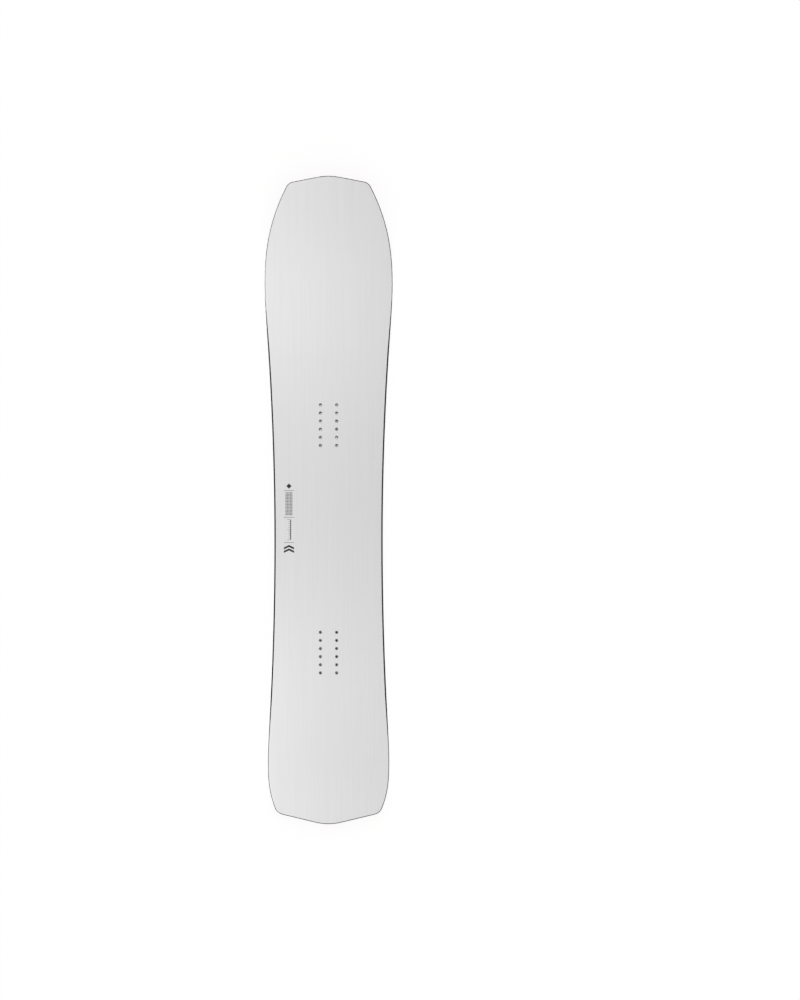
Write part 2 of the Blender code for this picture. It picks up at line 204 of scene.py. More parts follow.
def end_rise(run, reach, straight, angle):
    """Height that one end has gained, a run past its widest place: an arc, then a straight stretch."""
    arc_run = reach - straight
    radius = arc_run / math.sin(angle)
    on_arc = np.clip(run, 0, arc_run)
    beyond = np.clip(run - arc_run, 0, None)
    return radius - np.sqrt(radius**2 - on_arc**2) + beyond * math.tan(angle)


def curved_height(y):
    share = np.clip((y - camber_rear) / (camber_front - camber_rear), 0, 1)
    arch = camber * (1 - np.cos(2 * math.pi * share)) / 2
    return arch + end_rise(y - nose_start, **nose_bend) + end_rise(tail_start - y, **tail_bend)


def ride_height(y):
    """Height of the base's face over the ground, with the two pads drawn flat."""
    y = np.asarray(y, dtype=float)
    height = curved_height(y)
    for pad in (nose_pad, tail_pad):
        ends = curved_height(np.array(pad[::-1]))
        flat = np.interp(y, pad[::-1], ends)
        height = np.where((y < pad[0]) & (y > pad[1]), flat, height)
    return height


def core_depth(y):
    known = [camber_rear, taper_rear, taper_front, camber_front]
    return np.interp(y, known, [core_tip, core_middle, core_middle, core_tip])


print("rise of the nose in mm:", round(1000 * float(ride_height(length / 2)), 1))
print("rise of the tail in mm:", round(1000 * float(ride_height(-length / 2)), 1))

# %% [markdown]
# ## Levels of the stack
#
# Each layer has its own level above the face of the base. Glue lines of 0.15 mm lie between them.
# The side leans in by 24 degrees, because it is milled with a slanted cutter after pressing.

# %% Levels and insets, in metres
glue_line = 0.00015
base_thickness = 0.0014
edge_width = 0.0020
edge_height = 0.00205
flange_bottom = 0.00155
flange_inset = 0.0060
foil_low, foil_high = 0.0022, 0.0024
foil_inset = 0.0075
glass_thickness = 0.0006
rim_glass_low, rim_glass_high = 0.00255, 0.00315
glass_low, glass_high = 0.00155, 0.00215
drape_start, drape_end = 0.00765, 0.00795
sidewall_low = 0.0033
sidewall_inset = 0.00915
core_low = 0.0023
over_core = {"glass_low": 0.00245, "glass_high": 0.00305, "top_low": 0.0032, "top_high": 0.0037}
bevel = math.tan(math.radians(24))
edge_reveal = 0.0003

depth = core_depth(outline[:, 1])


def side_inset(height):
    """How far in from the rim the milled side is, at a height above the base."""
    return edge_reveal + (height - edge_height) * bevel


# %% [markdown]
# ## From a cross-section to a piece
#
# Each rim piece is one cross-section that runs along the board. A curve with a bevel object does
# this in a few clicks, but its section can't change on the way, and here the core gets thinner
# towards the ends. So each section is given as corners, every corner is eased with a few steps,
# since no cut or moulded edge is perfectly sharp, and neighbouring sections are joined with faces.

# %% Sections, eased corners and the loft
ease_steps = 2
ease_reach = 0.45  # an eased corner takes up at most this share of the line to the next one
smooth_angle = math.radians(38)
weld = 1e-7


def eased(corners):
    """Sections with eased corners (inset, height, radius). The first two may be one for each station."""
    lines = []
    for inset, height, _ in corners:
        lines.append(np.column_stack(np.broadcast_arrays(inset, height, depth))[:, :2])
    eased_lines = []
    for k, (_, _, radius) in enumerate(corners):
        corner = lines[k]
        if radius == 0:
            eased_lines.append(corner)
            continue
        ends = []
        for other in (lines[k - 1], lines[(k + 1) % len(lines)]):
            way = other - corner
            run = np.linalg.norm(way, axis=1)[:, None]
            ends.append(corner + way / run * np.minimum(radius, ease_reach * run))
        for share in np.linspace(0, 1, ease_steps + 1):
            eased_lines.append(
                (1 - share) ** 2 * ends[0] + 2 * share * (1 - share) * corner + share**2 * ends[1]
            )
    return eased_lines


def placed(line):
    """The points of one line of a section, on the right half of the board."""
    points = outline + inward * line[:, :1]
    return np.column_stack([points, ride_height(points[:, 1]) + line[:, 1]])


def right_half(corners):
    """The eased sections of a piece on the right half of the board, from nose to tail."""
    return np.stack([placed(line) for line in eased(corners)], axis=1)


def closed(shape):
    """The shape with doubled points welded and every face turned outwards."""
    bmesh.ops.remove_doubles(shape, verts=shape.verts, dist=weld)
    bmesh.ops.recalc_face_normals(shape, faces=shape.faces)
    return shape


def lofted(rings, capped):
    """A closed body through rings that all have the same number of corners."""
    shape = bmesh.new()
    rows = [[shape.verts.new(corner) for corner in ring] for ring in rings]
    for row, following in zip(rows, rows[1:]):
        for k in range(len(row)):
            shape.faces.new((row[k - 1], row[k], following[k], following[k - 1]))
    if capped:
        shape.faces.new(rows[0])
        shape.faces.new(rows[-1])
    return closed(shape)


def smooth_mesh(name, shape):
    mesh = bpy.data.meshes.new(name)
    shape.to_mesh(mesh)
    shape.free()
    mesh.shade_smooth()
    mesh.set_sharp_from_angle(angle=smooth_angle)
    return mesh


# %% [markdown]
# ## From a mesh to a piece of the board
#
# A mesh shows only once an object holds it and the scene holds that object. Each piece then rides on
# the board's one body, takes its finish as its mesh's material, and stands in for the plain piece of
# the imported model. That plain piece could be left in as well, but the two would lie in the same
# place and flicker, so it is hidden. The printed fit shows how far the new piece stands out of the
# old one's box, which is under a tenth of a millimetre.

# %% Making a piece ride on the board in the place of its plain node
def add_object(name, data):
    """An object in the scene that holds this mesh, lamp or camera."""
    made = bpy.data.objects.new(name, data)
    bpy.context.scene.collection.objects.link(made)
    return made


def add_piece(name, mesh, material, node=None):
    """A visible piece that rides on the board. Where it has a node, it stands in that node's place."""
    if not mesh.materials:
        mesh.materials.append(material)
    piece = add_object(name, mesh)
    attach(piece, "root")
    if node:
        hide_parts(node)
    return piece


def print_fit(piece, node):
    """Prints how far the piece stands out of its node's box at the low and at the high sides."""
    low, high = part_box(node)
    corners = [piece.matrix_world @ Vector(corner) for corner in piece.bound_box]
    past_low = max(low[k] - min(corner[k] for corner in corners) for k in range(3))
    past_high = max(max(corner[k] for corner in corners) - high[k] for k in range(3))
    print(f"{piece.name}: out of its node's box by {1000 * past_low:.2f} and {1000 * past_high:.2f} mm")


# %% [markdown]
# ## Colours and nodes
#
# Colours are written as the hex values that an image editor shows, which are sRGB. Blender's nodes
# work in linear light, so one function turns them. A second small function adds a node, sets its
# properties and sockets, and joins it up, so that a whole material stays readable as a short list.
# Nearly every finish here ends alike: one value picks its colour from a ramp, one spreads its
# roughness and one raises its relief. One more function joins those three up to the shader.

# %% Colour and node helpers
def linear(hex_colour):
    """An sRGB hex colour as the linear colour that a socket takes."""
    channels = [int(hex_colour[k : k + 2], 16) / 255 for k in (1, 3, 5)]
    return [c / 12.92 if c <= 0.04045 else ((c + 0.055) / 1.055) ** 2.4 for c in channels] + [1.0]


def add_node(tree, kind, settings=None, links=None):
    """Adds a node. Settings go to its sockets by name or number, or else to its properties."""
    node = tree.nodes.new(kind)
    for name, value in (settings or {}).items():
        if isinstance(name, int) or name in node.inputs:
            node.inputs[name].default_value = value
        else:
            setattr(node, name, value)
    for name, socket in (links or {}).items():
        tree.links.new(socket, node.inputs[name])
    return node


def new_material(name, roughness, metallic=0.0):
    """A material with its shader's plain settings, its node tree, and the place on the piece in metres."""
    material = bpy.data.materials.new(name)
    material.use_nodes = True
    tree = material.node_tree
    shader = tree.nodes["Principled BSDF"]
    shader.inputs["Roughness"].default_value = roughness
    shader.inputs["Metallic"].default_value = metallic
    place = add_node(tree, "ShaderNodeTexCoord").outputs["Object"]
    return material, tree, shader, place


def set_ramp(node, stops):
    """Fills a colour ramp with (position, hex colour) stops."""
    ramp = node.color_ramp
    while len(ramp.elements) < len(stops):
        ramp.elements.new(0.5)
    for element, (position, colour) in zip(ramp.elements, stops):
        element.position = position
        element.color = linear(colour)
    return node.outputs["Color"]


def join_up(tree, shader, colour=None, gloss=None, relief=None):
    """Joins values up to the shader, as most finishes end.

    A colour is (value, ramp stops), a gloss (value, least and most roughness), and a relief
    (value, strength, depth in metres).
    """
    if colour:
        ramp = add_node(tree, "ShaderNodeValToRGB", links={"Fac": colour[0]})
        tree.links.new(set_ramp(ramp, colour[1]), shader.inputs["Base Color"])
    if gloss:
        spread = add_node(
            tree, "ShaderNodeMapRange", {"To Min": gloss[1], "To Max": gloss[2]}, {"Value": gloss[0]},
        )
        tree.links.new(spread.outputs[0], shader.inputs["Roughness"])
    if relief:
        bump = add_node(
            tree, "ShaderNodeBump", {"Strength": relief[1], "Distance": relief[2]}, {"Height": relief[0]},
        )
        tree.links.new(bump.outputs["Normal"], shader.inputs["Normal"])


# %% [markdown]
# ## Topsheet finish: printed polyamide
#
# The topsheet is a 0.5 mm sheet of polyamide, printed pale grey from behind and left satin by a
# brushed film in the press. The eye sees an even grey with a soft sheen, and very faint lines that run
# lengthwise. Two noises stretched along the board make them: bands about 5 mm wide, which are as
# fine as a view of the whole board can show, and brush lines of 0.8 mm for a close look. The cloth
# under the sheet telegraphs through as a shallow 3 mm check, and a few specks of dust lie under it.

# %% Topsheet finish
band_width = 0.005
band_length = 0.300
brush_width = 0.0008
brush_length = 0.060
cloth_pitch = 0.003
speck_cell = 0.045
speck_dense, speck_clear = 0.010, 0.022  # a speck fades out between these, in shares of a cell


def stretched(tree, place, width, run):
    """Coordinates that count in widths across the board and in runs along it."""
    scale = (1 / width, 1 / run, 1 / run)
    mapping = add_node(tree, "ShaderNodeMapping", {"Scale": scale}, {"Vector": place})
    return mapping.outputs["Vector"]


def topsheet_finish():
    material, tree, shader, place = new_material("topsheet_satin_polyamide", 0.45)
    bands = add_node(
        tree, "ShaderNodeTexNoise", {"Scale": 1.0, "Detail": 2.0},
        {"Vector": stretched(tree, place, band_width, band_length)},
    )
    brush = add_node(
        tree, "ShaderNodeTexNoise", {"Scale": 1.0, "Detail": 3.0},
        {"Vector": stretched(tree, place, brush_width, brush_length)},
    )
    grain = add_node(
        tree, "ShaderNodeMath", {"operation": "MULTIPLY_ADD", 1: 0.35},
        {0: brush.outputs["Fac"], 2: bands.outputs["Fac"]},
    )
    shade = set_ramp(
        add_node(tree, "ShaderNodeValToRGB", links={"Fac": grain.outputs[0]}),
        [(0.35, "#D6D6D6"), (0.68, "#D9D9D9"), (1.0, "#DBDBDB")],
    )
    specks = add_node(
        tree, "ShaderNodeTexVoronoi", {"Scale": 1 / speck_cell}, {"Vector": place},
    )
    near = add_node(
        tree, "ShaderNodeMapRange",
        {"From Min": speck_dense, "From Max": speck_clear, "To Min": 1.0, "To Max": 0.0},
        {"Value": specks.outputs["Distance"]},
    )
    mixed = add_node(
        tree, "ShaderNodeMix", {"data_type": "RGBA", 7: linear("#B8B8B8")},
        {0: near.outputs[0], 6: shade},
    )
    tree.links.new(mixed.outputs[2], shader.inputs["Base Color"])
    check = add_node(
        tree, "ShaderNodeTexVoronoi", {"Scale": 1 / cloth_pitch, "Randomness": 0.08}, {"Vector": place},
    )
    relief = add_node(
        tree, "ShaderNodeMath", {"operation": "MULTIPLY_ADD", 1: 0.4},
        {0: check.outputs["Distance"], 2: brush.outputs["Fac"]},
    )
    join_up(
        tree, shader, gloss=(brush.outputs["Fac"], 0.38, 0.52), relief=(relief.outputs[0], 0.35, 0.00004),
    )
    return material


topsheet_satin = topsheet_finish()

# %% [markdown]
# ## Holes for the inserts
#
# After pressing, a cutter opens the topsheet over each insert. A texture could paint the dots, but
# then nothing would be inside them. So one hidden cutter with 24 round tools is taken away from the
# topsheet and from the upper glass, and then thrown away. Each tool flares at the face, which leaves
# the small chamfer that a countersink makes.

# %% Places of the 24 inserts
insert_rows = 6
row_pitch = 0.020
column_pitch = 0.040
barrel_radius = 0.0040
hole_chamfer = 0.00015
hole_sides = 40
tool_foot = 0.001  # where a tool starts, above the foot of its insert
tool_overrun = 0.002  # how far it stands out of the topsheet


def insert_places():
    """Name, place of the foot and lean of each insert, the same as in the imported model."""
    for pack, centre, pad in (("nose", nose_pack, nose_pad), ("tail", tail_pack, tail_pad)):
        front_height, rear_height = ride_height(np.array(pad))
        lean = math.atan2(front_height - rear_height, pad[0] - pad[1])
        for side, x in (("left", -column_pitch / 2), ("right", column_pitch / 2)):
            for row in range(insert_rows):
                y = centre + (insert_rows - 1) * row_pitch / 2 - row * row_pitch
                yield f"{pack}_{side}_{row + 1}", Vector((x, y, ride_height(y) + core_low)), lean


def turned(profile, sides):
    """A round body from (radius, height) points that start and end on the upright axis."""
    shape = bmesh.new()
    points = [shape.verts.new((radius, 0, height)) for radius, height in profile]
    lines = [shape.edges.new(pair) for pair in zip(points, points[1:])]
    bmesh.ops.spin(
        shape, geom=points + lines, cent=(0, 0, 0), axis=(0, 0, 1),
        angle=2 * math.pi, steps=sides, use_merge=True,
    )
    return closed(shape)


def hole_cutter():
    """All 24 tools in one object."""
    radius = barrel_radius + glue_line
    face = core_middle + over_core["top_high"] - core_low
    profile = [
        (0, tool_foot), (radius, tool_foot), (radius, face - hole_chamfer),
        (radius + hole_chamfer, face), (radius + 2 * hole_chamfer, face + hole_chamfer),
        (radius + 2 * hole_chamfer, face + tool_overrun), (0, face + tool_overrun),
    ]
    tool = smooth_mesh("hole tool", turned(profile, hole_sides))
    tools = bmesh.new()
    for _, place, lean in insert_places():
        before = len(tools.verts)
        tools.from_mesh(tool)
        tools.verts.ensure_lookup_table()
        bmesh.ops.transform(
            tools, verts=tools.verts[before:],
            matrix=Matrix.Translation(place) @ Matrix.Rotation(lean, 4, "X"),
        )
    return add_object("hole tools", smooth_mesh("hole tools", tools))


def with_holes(name, mesh):
    """The mesh with the 24 holes cut through it."""
    blank = add_object(name, mesh)
    cutter = hole_cutter()
    cut = blank.modifiers.new("holes", "BOOLEAN")
    cut.operation = "DIFFERENCE"
    cut.solver = "EXACT"
    cut.object = cutter
    graph = bpy.context.evaluated_depsgraph_get()
    drilled = bpy.data.meshes.new_from_object(blank.evaluated_get(graph))
    drilled.name = name
    bpy.data.objects.remove(blank)
    bpy.data.objects.remove(cutter)
    drilled.shade_smooth()
    drilled.set_sharp_from_angle(angle=smooth_angle)
    print(f"{name}: {len(drilled.vertices)} points with its holes")
    return drilled


# %% [markdown]
# ## Full-width layers
#
# Topsheet, glass cloths and base reach across the whole board. Their section is drawn for the right
# half only, from the top round to the bottom, and mirrored. A support line runs 1 mm in from each
# eased rim, so that the smooth shading of the broad face isn't pulled down by the rim.

# %% Topsheet
support = 0.001
mirror_x = np.array([-1, 1, 1])


def full_width(corners):
    """A body across the whole board, from the section of its right half."""
    rings = [[*half, *(half * mirror_x)[::-1]] for half in right_half(corners)]
    return lofted(rings, capped=False)


def sheet_section(low, high, ease_top, ease_bottom):
    """A plain sheet that ends on the milled side."""
    return [
        (side_inset(high) + support, high, 0),
        (side_inset(high), high, ease_top),
        (side_inset(low), low, ease_bottom),
        (side_inset(low) + support, low, 0),
    ]


top_section = sheet_section(depth + over_core["top_low"], depth + over_core["top_high"], 0.0002, 0)
topsheet = add_piece(
    "topsheet_skin", with_holes("topsheet_skin", smooth_mesh("sheet", full_width(top_section))),
    topsheet_satin, "topsheet",
)
print_fit(topsheet, "topsheet")

# %% [markdown]
# ## Laminate finish: glass cloth in smoked epoxy
#
# Above and below the core lies a cloth of glass fibre, soaked in epoxy that is tinted dark. Only its
# milled rim shows, as a thin dark line with paler fibre ends. Stretched noises for warp and for weft
# could draw the weave; one check of 1 mm yarns crossed by fine fibre streaks reads the same at this size.
# A milled rim scatters what polished epoxy would mirror, so its specular level is low.

# %% Laminate finish
yarn_width = 0.001
fibre_width, fibre_length = 0.0003, 0.010
milled_specular = 0.06


def laminate_finish():
    material, tree, shader, place = new_material("laminate_smoked_epoxy", 0.5)
    shader.inputs["Specular IOR Level"].default_value = milled_specular
    yarns = add_node(
        tree, "ShaderNodeTexVoronoi", {"Scale": 1 / yarn_width, "Randomness": 0.25}, {"Vector": place},
    )
    fibres = add_node(
        tree, "ShaderNodeTexNoise", {"Scale": 1.0, "Detail": 4.0},
        {"Vector": stretched(tree, place, fibre_width, fibre_length)},
    )
    both = add_node(
        tree, "ShaderNodeMath", {"operation": "MULTIPLY"},
        {0: yarns.outputs["Distance"], 1: fibres.outputs["Fac"]},
    )
    smoked = [(0.05, "#1C1D1B"), (0.25, "#272824"), (0.45, "#3A3B36")]
    join_up(tree, shader, colour=(both.outputs[0], smoked), relief=(both.outputs[0], 0.3, 0.00005))
    return material


laminate = laminate_finish()

# %% Upper and lower glass cloth
upper_section = sheet_section(
    depth + over_core["glass_low"], depth + over_core["glass_high"], 0, 0,
)
upper_glass = add_piece(
    "upper_glass_cloth",
    with_holes("upper_glass_cloth", smooth_mesh("cloth", full_width(upper_section))),
    laminate, "upper_glass",
)
print_fit(upper_glass, "upper_glass")

lower_section = [
    (drape_end + glass_thickness, glass_high, 0.0002),
    (drape_start + glass_thickness, rim_glass_high, 0.0002),
    (side_inset(rim_glass_high), rim_glass_high, 0),
    (side_inset(rim_glass_low), rim_glass_low, 0),
    (drape_start, rim_glass_low, 0.0001),
    (drape_end, glass_low, 0.0001),
]
lower_glass = add_piece(
    "lower_glass_cloth", smooth_mesh("lower_glass_cloth", full_width(lower_section)),
    laminate, "lower_glass",
)
print_fit(lower_glass, "lower_glass")

# %% [markdown]
# ## Base finish: sintered polyethylene
#
# The base is polyethylene powder that is sintered into a block, peeled off as a sheet and ground on
# a stone. It looks like hard wax: deep red, with a soft sheen, and a fine structure of grooves along the
# board that lets water out. The real grooves are 0.4 mm apart, too fine to show on a whole board, so
# they are drawn about six times as wide, as a wave across the board. A noise breaks it up, so that the
# grooves come and go as ground ones do.

# %% Base finish
groove_pitch = 0.0004
drawn_groove_pitch = 2 * math.pi * groove_pitch  # 2.5 mm
wave_radians = 20  # how far Blender's wave turns in one unit of its scale
cloud_scale = 14.0  # clouds about 70 mm wide


def base_finish():
    material, tree, shader, place = new_material("base_sintered_polyethylene", 0.34)
    shader.inputs["IOR"].default_value = 1.51
    grind = add_node(
        tree, "ShaderNodeTexNoise", {"Scale": 1.0, "Detail": 3.0},
        {"Vector": stretched(tree, place, 2 * groove_pitch, 0.040)},
    )
    cloud = add_node(
        tree, "ShaderNodeTexNoise", {"Scale": cloud_scale, "Detail": 3.0}, {"Vector": place},
    )
    both = add_node(
        tree, "ShaderNodeMath", {"operation": "MULTIPLY_ADD", 1: 0.5},
        {0: grind.outputs["Fac"], 2: cloud.outputs["Fac"]},
    )
    grooves = add_node(
        tree, "ShaderNodeTexWave",
        {"wave_type": "BANDS", "bands_direction": "X", "Distortion": 1.5, "Detail": 2.0,
         "Detail Scale": 1.0, "Scale": 2 * math.pi / wave_radians / drawn_groove_pitch},
        {"Vector": place},
    )
    relief = add_node(
        tree, "ShaderNodeMath", {"operation": "MULTIPLY"},
        {0: grooves.outputs["Fac"], 1: grind.outputs["Fac"]},
    )
    join_up(
        tree, shader, colour=(both.outputs[0], [(0.45, "#BA0009"), (0.75, "#C2000B"), (1.0, "#C9040F")]),
        gloss=(grind.outputs["Fac"], 0.28, 0.44), relief=(relief.outputs[0], 0.5, 0.00003),
    )
    return material


base_red = base_finish()

# %% Base sheet
base_inset = edge_width + glue_line
base_section = [
    (base_inset + support, base_thickness, 0),
    (base_inset, base_thickness, 0),
    (base_inset, 0.0, 0.0001),
    (base_inset + support, 0.0, 0),
]
base = add_piece(
    "base_sheet", smooth_mesh("base_sheet", full_width(base_section)), base_red, "base",
)
print_fit(base, "base")

# %% [markdown]
# ## Edge finish: ground carbon steel
#
# The edge is a hard carbon steel strip, rolled to an L and ground on its two outer faces. Grinding
# runs along the strip, so highlights stretch into a thin bright line that breaks up here and there.
# A metallic shader with fine lengthwise streaks in roughness and bump gives that; a mirror would
# look like chrome.

# %% Edge finish
streak_width = 0.00025
tarnish_scale = 40.0  # patches about 25 mm wide


def steel_finish():
    material, tree, shader, place = new_material("edge_ground_carbon_steel", 0.3, metallic=1.0)
    streaks = add_node(
        tree, "ShaderNodeTexNoise", {"Scale": 1.0, "Detail": 3.0},
        {"Vector": stretched(tree, place, streak_width, 0.030)},
    )
    tarnish = add_node(
        tree, "ShaderNodeTexNoise", {"Scale": tarnish_scale, "Detail": 4.0}, {"Vector": place},
    )
    steel_greys = [(0.3, "#9C9DA0"), (0.5, "#B4B5B8"), (0.7, "#C0C1C3")]
    join_up(
        tree, shader, colour=(tarnish.outputs["Fac"], steel_greys),
        gloss=(streaks.outputs["Fac"], 0.20, 0.42), relief=(streaks.outputs["Fac"], 0.4, 0.00003),
    )
    return material


ground_steel = steel_finish()

# %% Steel edges, left and right
edge_joint = 0.0004
edge_support = 0.0002  # a support line close to the eased corner keeps the ledge above it shaded flat
nose_tip = 0
tail_tip = len(outline) - 1


def add_side_pair(name, node, corners, first, last, shifts, material):
    """A strip along the rim between two outline points, on both sides, its ends shifted for a joint."""
    rings = right_half(corners)[first : last + 1]
    rings[0] += shifts[0]
    rings[-1] += shifts[1]
    for side, these in (("right", rings), ("left", rings * mirror_x)):
        piece = add_piece(
            f"{name}_{side}", smooth_mesh(f"{name}_{side}", lofted(these, capped=True)),
            material, f"{node}_{side}",
        )
        print_fit(piece, f"{node}_{side}")


edge_section = [
    (0, 0, 0.00015),
    (0, edge_height, 0.0001),
    (edge_support, edge_height, 0),
    (flange_inset, edge_height, 0),
    (flange_inset, flange_bottom, 0),
    (edge_width, flange_bottom, 0.0001),
    (edge_width, 0, 0.00005),
]
half_joint = (edge_joint / 2, 0, 0)
add_side_pair(
    "steel_edge", "edge", edge_section, nose_tip, tail_tip, (half_joint, half_joint),
    ground_steel,
)

# %% [markdown]
# ## Foil finish: black rubber
#
# A thin strip of rubber lies between the steel and the glass, so that the two can move a little
# without parting. Only a hairline of it shows. It is matt, with a fine mottle from the calender rolls.

# %% Rubber foil
mottle_scale = 900.0  # mottle about 1.1 mm wide


def rubber_finish():
    material, tree, shader, place = new_material("foil_calendered_rubber", 0.8)
    mottle = add_node(
        tree, "ShaderNodeTexNoise", {"Scale": mottle_scale, "Detail": 3.0}, {"Vector": place},
    ).outputs["Fac"]
    join_up(
        tree, shader, colour=(mottle, [(0.35, "#191919"), (0.65, "#2A2A2A")]),
        relief=(mottle, 0.3, 0.00003),
    )
    return material


foil_section = [
    (foil_inset, foil_high, 0),
    (side_inset(foil_high), foil_high, 0),
    (side_inset(foil_low), foil_low, 0),
    (foil_inset, foil_low, 0),
]
add_side_pair(
    "rubber_foil", "foil", foil_section, nose_tip, tail_tip, (half_joint, half_joint),
    rubber_finish(),
)

# %% [markdown]
# ## Sidewall finish: milled ABS
#
# The sidewalls are strips of black ABS. After pressing, a spinning cutter mills them to their slope
# and leaves faint lines along the board. ABS that is cut isn't as glossy as ABS that is moulded, so
# it is a near black with a broad, weak highlight, and its specular level is far under the usual 0.5:
# under the white sky a higher one would turn the black to grey. The same lines are drawn on the grey
# spacers, which close the thin ends of the board where there is no sidewall.

# %% Milled plastic, in black and in grey
mill_width = 0.0004
mill_length = 0.080
smoother, rougher = 0.08, 0.10  # how far the lines take the roughness down and up


def milled_finish(name, dark, light, roughness):
    material, tree, shader, place = new_material(name, roughness)
    shader.inputs["Specular IOR Level"].default_value = milled_specular
    lines = add_node(
        tree, "ShaderNodeTexNoise", {"Scale": 1.0, "Detail": 3.0},
        {"Vector": stretched(tree, place, mill_width, mill_length)},
    ).outputs["Fac"]
    join_up(
        tree, shader, colour=(lines, [(0.3, dark), (0.7, light)]),
        gloss=(lines, roughness - smoother, roughness + rougher), relief=(lines, 0.4, 0.00004),
    )
    return material


black_abs = milled_finish("sidewall_milled_abs", "#101011", "#1A1A1C", 0.65)
grey_abs = milled_finish("spacer_milled_abs", "#606061", "#747475", 0.65)

# %% Sidewalls and the two end spacers
side_section = [
    (sidewall_inset, depth + core_low, 0),
    (side_inset(depth + core_low), depth + core_low, 0),
    (side_inset(sidewall_low), sidewall_low, 0),
    (sidewall_inset, sidewall_low, 0),
]
half_glue = np.array([0, glue_line / 2, 0])
add_side_pair(
    "sidewall_strip", "sidewall", side_section, nose_joint, tail_joint, (-half_glue, half_glue),
    black_abs,
)


def add_end_band(name, node, tip, joint, shift):
    """A strip round one end, from a joint on the left round the tip to the same joint on the right."""
    step = 1 if joint > tip else -1
    right = right_half(side_section)[list(range(tip, joint + step, step))]
    right[-1] += shift
    left = (right * mirror_x)[:0:-1]
    shape = lofted(np.concatenate([left, right]), capped=True)
    piece = add_piece(name, smooth_mesh(name, shape), grey_abs, node)
    print_fit(piece, node)


add_end_band("nose_end_spacer", "nose_spacer", nose_tip, nose_joint, half_glue)
add_end_band("tail_end_spacer", "tail_spacer", tail_tip, tail_joint, -half_glue)

# %% [markdown]
# ## Core finish: poplar
#
# The core is glued up from poplar staves that lie along the board. The topsheet hides it all, but an
# opened or an exploded view shows it, so it gets the long pale grain of poplar. Poplar's year rings
# are 4 to 6 mm wide; a noise stretched along the stave draws them, and each stave is a shade of its own.

# %% Core finish
ring_width, ring_length = 0.005, 0.250
pore_width, pore_length = 0.0004, 0.012


def poplar_finish():
    material, tree, shader, place = new_material("core_poplar", 0.6)
    rings = add_node(
        tree, "ShaderNodeTexNoise", {"Scale": 1.0, "Detail": 2.0, "Distortion": 0.4},
        {"Vector": stretched(tree, place, ring_width, ring_length)},
    )
    pores = add_node(
        tree, "ShaderNodeTexNoise", {"Scale": 1.0, "Detail": 4.0},
        {"Vector": stretched(tree, place, pore_width, pore_length)},
    )
    own = add_node(tree, "ShaderNodeObjectInfo")
    lift = add_node(
        tree, "ShaderNodeMath", {"operation": "MULTIPLY_ADD", 1: 0.25},
        {0: own.outputs["Random"], 2: rings.outputs["Fac"]},
    )
    grain = add_node(
        tree, "ShaderNodeMath", {"operation": "MULTIPLY_ADD", 1: 0.2},
        {0: pores.outputs["Fac"], 2: lift.outputs[0]},
    )
    pale_browns = [(0.45, "#B98F5E"), (0.65, "#D2AE7E"), (0.9, "#E2C89E")]
    join_up(tree, shader, colour=(grain.outputs[0], pale_browns), relief=(pores.outputs["Fac"], 0.3, 0.0001))
    return material


poplar = poplar_finish()
staves = [node for name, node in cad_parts.items() if name.startswith("core_")]
for stave in staves:
    for material_slot in stave.material_slots:
        material_slot.material = poplar
print("staves and wedges in poplar:", len(staves))

# %% [markdown]
# ## Insert finish: turned stainless steel
#
# The bindings screw into 24 inserts, turned from stainless bar. A lathe leaves very fine rings round
# the axis. The drill leaves the bottom of the bore rougher than that, and the cutter that opens the
# topsheet scores the face until it is matt and pale. Each insert is an object with its own origin, so
# the distance from its axis gives the rings, as a sine that drives the bump, and its own height tells
# the drilled bottom and the scored face from the turned bore between them.

# %% Insert finish
turning_pitch = 0.00012
drilled_height = 0.0016  # the bottom of the bore lies below this
scored_height = 0.0072  # the face lies above this
drilled_extra = 0.19  # what each adds to the roughness of the turned steel
scored_extra = 0.62
stain_scale = 900.0  # stains about 1.1 mm wide


def turned_steel_finish():
    material, tree, shader, place = new_material("insert_turned_stainless", 0.3, metallic=1.0)
    flat = add_node(
        tree, "ShaderNodeVectorMath", {"operation": "MULTIPLY", 1: (1, 1, 0)}, {0: place},
    )
    away = add_node(
        tree, "ShaderNodeVectorMath", {"operation": "LENGTH"}, {0: flat.outputs["Vector"]},
    )
    phase = add_node(
        tree, "ShaderNodeMath", {"operation": "MULTIPLY", 1: 2 * math.pi / turning_pitch},
        {0: away.outputs["Value"]},
    )
    rings = add_node(tree, "ShaderNodeMath", {"operation": "SINE"}, {0: phase.outputs[0]})
    stain = add_node(
        tree, "ShaderNodeTexNoise", {"Scale": stain_scale, "Detail": 3.0}, {"Vector": place},
    ).outputs["Fac"]
    join_up(
        tree, shader, colour=(stain, [(0.3, "#B2B2B3"), (0.7, "#C2C2C3")]),
        relief=(rings.outputs[0], 0.3, 0.000004),
    )

    height = add_node(tree, "ShaderNodeSeparateXYZ", links={0: place}).outputs["Z"]
    rough = add_node(
        tree, "ShaderNodeMapRange", {"To Min": 0.14, "To Max": 0.20}, {"Value": stain},
    ).outputs[0]
    for test, limit, extra in (
        ("LESS_THAN", drilled_height, drilled_extra), ("GREATER_THAN", scored_height, scored_extra),
    ):
        here = add_node(tree, "ShaderNodeMath", {"operation": test, 1: limit}, {0: height})
        rough = add_node(
            tree, "ShaderNodeMath", {"operation": "MULTIPLY_ADD", 1: extra},
            {0: here.outputs[0], 2: rough},
        ).outputs[0]
    tree.links.new(rough, shader.inputs["Roughness"])
    return material


turned_steel = turned_steel_finish()

# %% [markdown]
# ## Threaded inserts
#
# Each insert is a flanged barrel with a blind M6 thread. A screw modifier can draw a thread, but it
# leaves open ends that have to be stitched to the bore. Here the bore is a stack of rings whose radius
# swings between the thread's inner and outer radius, and the swing climbs by 1 mm each turn and fades
# out at both ends. The whole insert is then one closed loft, whose mesh all 24 places share.

